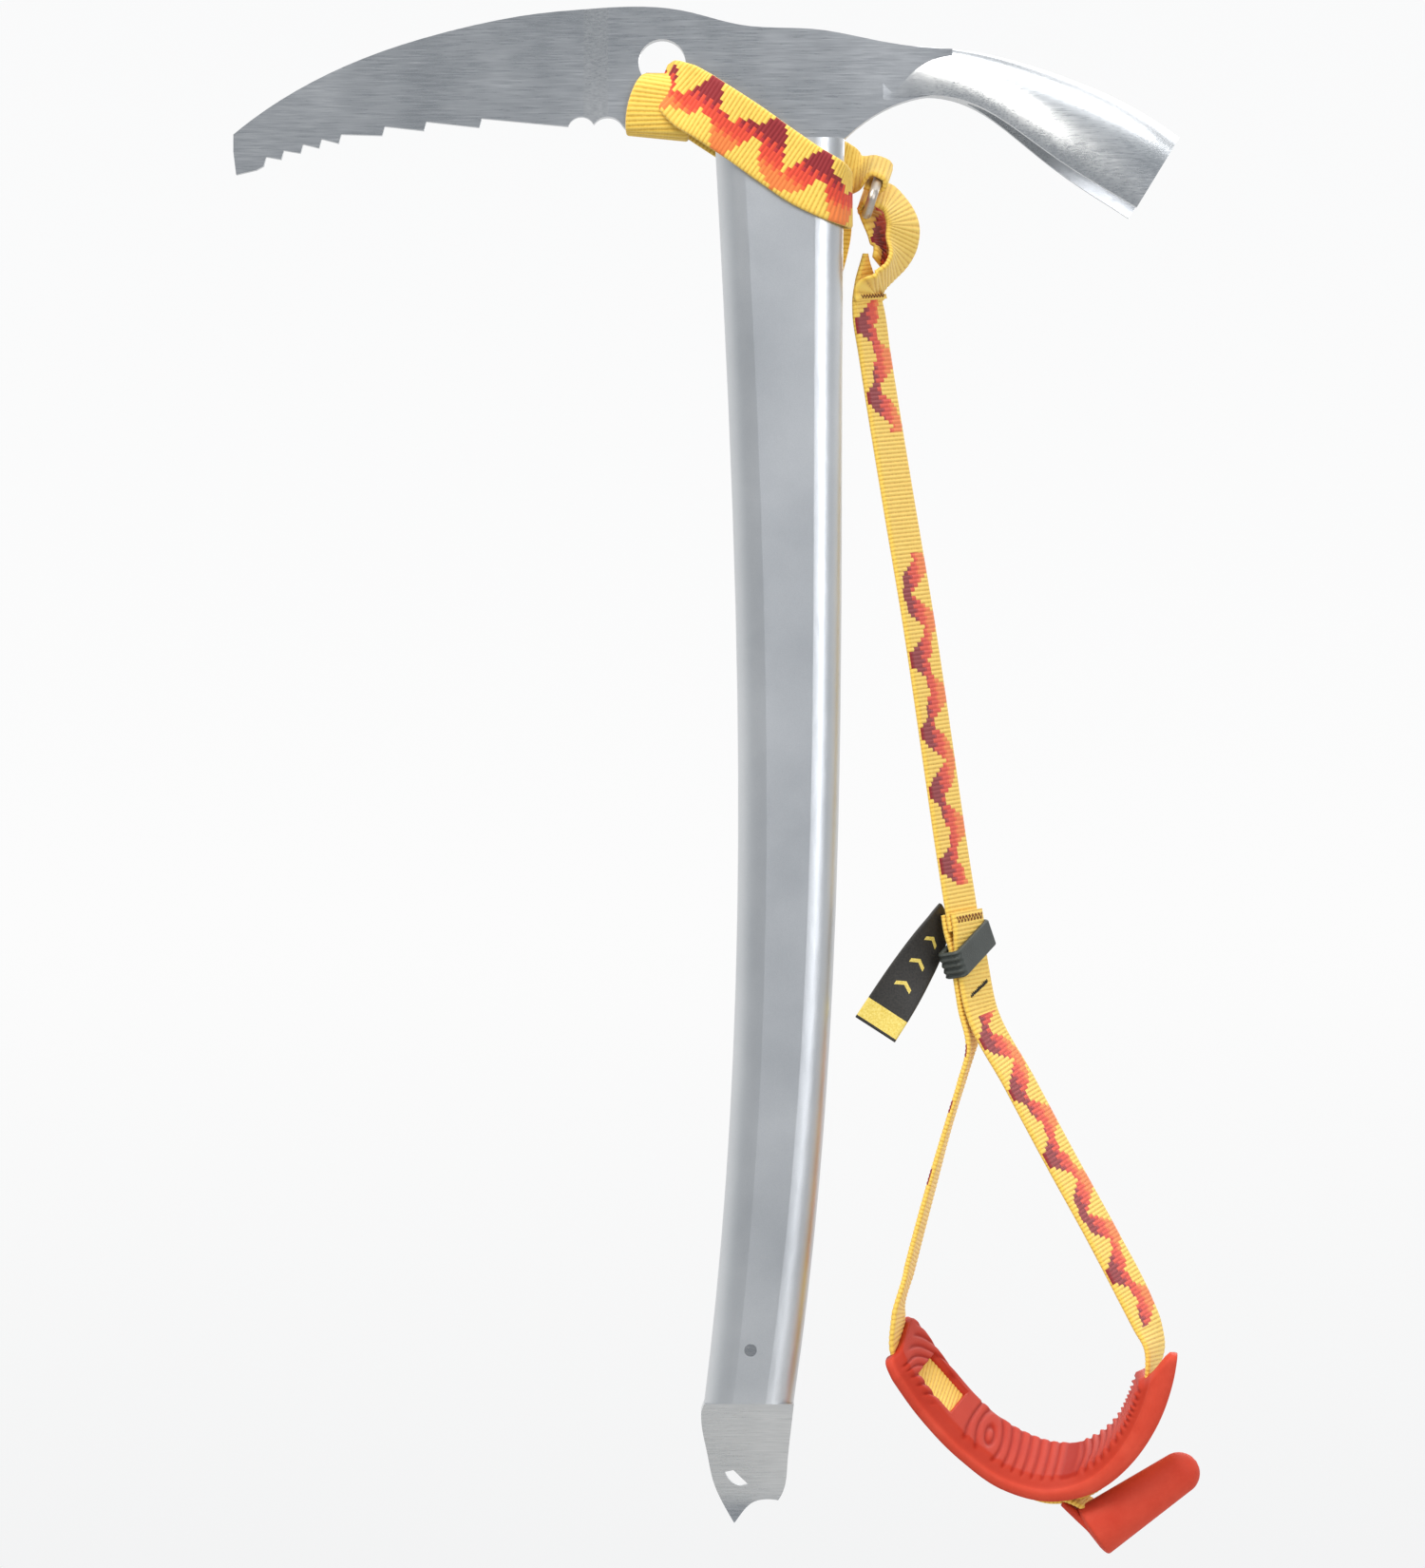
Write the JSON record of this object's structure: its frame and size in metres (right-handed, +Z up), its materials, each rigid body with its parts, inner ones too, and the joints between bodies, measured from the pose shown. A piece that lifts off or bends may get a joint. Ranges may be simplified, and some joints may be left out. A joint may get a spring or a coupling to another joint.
{
  "type": "ice axe",
  "caption": "Walking ice axe with a toothed pick, cupped adze, curved tapered shaft, spike and a webbing wrist leash with a moulded pad.",
  "frame": {"origin": "centre of the hang hole in the head", "axes": "+Z up the shaft towards the head, -X towards the pick and +X towards the adze, Y across the thin direction of the head"},
  "size_m": [0.3034, 0.0625, 0.4905],
  "materials": {
    "forged_steel": "satin ground steel",
    "rivet_steel": "flush ground rivets",
    "anodised_aluminium": "silver anodised",
    "nylon_plug": "black moulded nylon",
    "webbing": "yellow woven webbing with a stepped woven pattern in dark red, vermilion and orange",
    "ring_steel": "plain steel wire ring",
    "red_rubber": "moulded red rubber",
    "black_nylon": "moulded dark grey nylon",
    "label_ribbon": "woven black ribbon with a yellow end"
  },
  "bodies": {
    "axe": {"ice_axe_head": "forged_steel", "shaft": "anodised_aluminium", "head_plug": "nylon_plug", "head_rivets": "rivet_steel", "spike_plug": "nylon_plug", "spike": "forged_steel", "spike_pin": "rivet_steel", "hitch_wrap": "webbing", "hitch_band": "webbing", "strap_tail": "webbing", "ring_tab": "webbing"},
    "ring_body": {"ring": "ring_steel"},
    "leash": {"main_strap": "webbing", "strap_end": "webbing"},
    "loop": {"wrist_strap": "webbing", "wrist_pad": "red_rubber"},
    "slider_body": {"slider": "black_nylon"},
    "tag_body": {"label_tag": "label_ribbon"},
    "toggle_body": {"pull_toggle": "red_rubber", "pull_loop": "webbing"}
  },
  "joints": [
    {"name": "ring_turn", "type": "hinge", "parent": "axe", "child": "ring_body", "pos_m": [0.06878, 0.01, -0.03591], "axis": [-0.155, -0.8662, -0.4751], "range_deg": [0, 34]},
    {"name": "leash_swing", "type": "hinge", "parent": "ring_body", "child": "leash", "pos_m": [0.06662, 0.014, -0.04249], "axis": [-0.155, -0.8662, -0.4751], "range_deg": [-1, 20]},
    {"name": "loop_fold", "type": "hinge", "parent": "leash", "child": "loop", "pos_m": [0.09499, 0.012, -0.26679], "axis": [-0.494, -0.866, -0.077], "range_deg": [0, 50]},
    {"name": "slider_travel", "type": "slide", "parent": "loop", "child": "slider_body", "axis": [0.154, 0, -0.9881], "range_m": [0, 0.008]},
    {"name": "tag_flap", "type": "hinge", "parent": "leash", "child": "tag_body", "pos_m": [0.09, 0.0108, -0.27], "axis": [1, 0, 0], "range_deg": [0, 30]},
    {"name": "toggle_droop", "type": "hinge", "parent": "loop", "child": "toggle_body", "pos_m": [0.127, 0.015, -0.4532], "axis": [0.121, 0.9278, 0.353], "range_deg": [0, 24]}
  ]
}
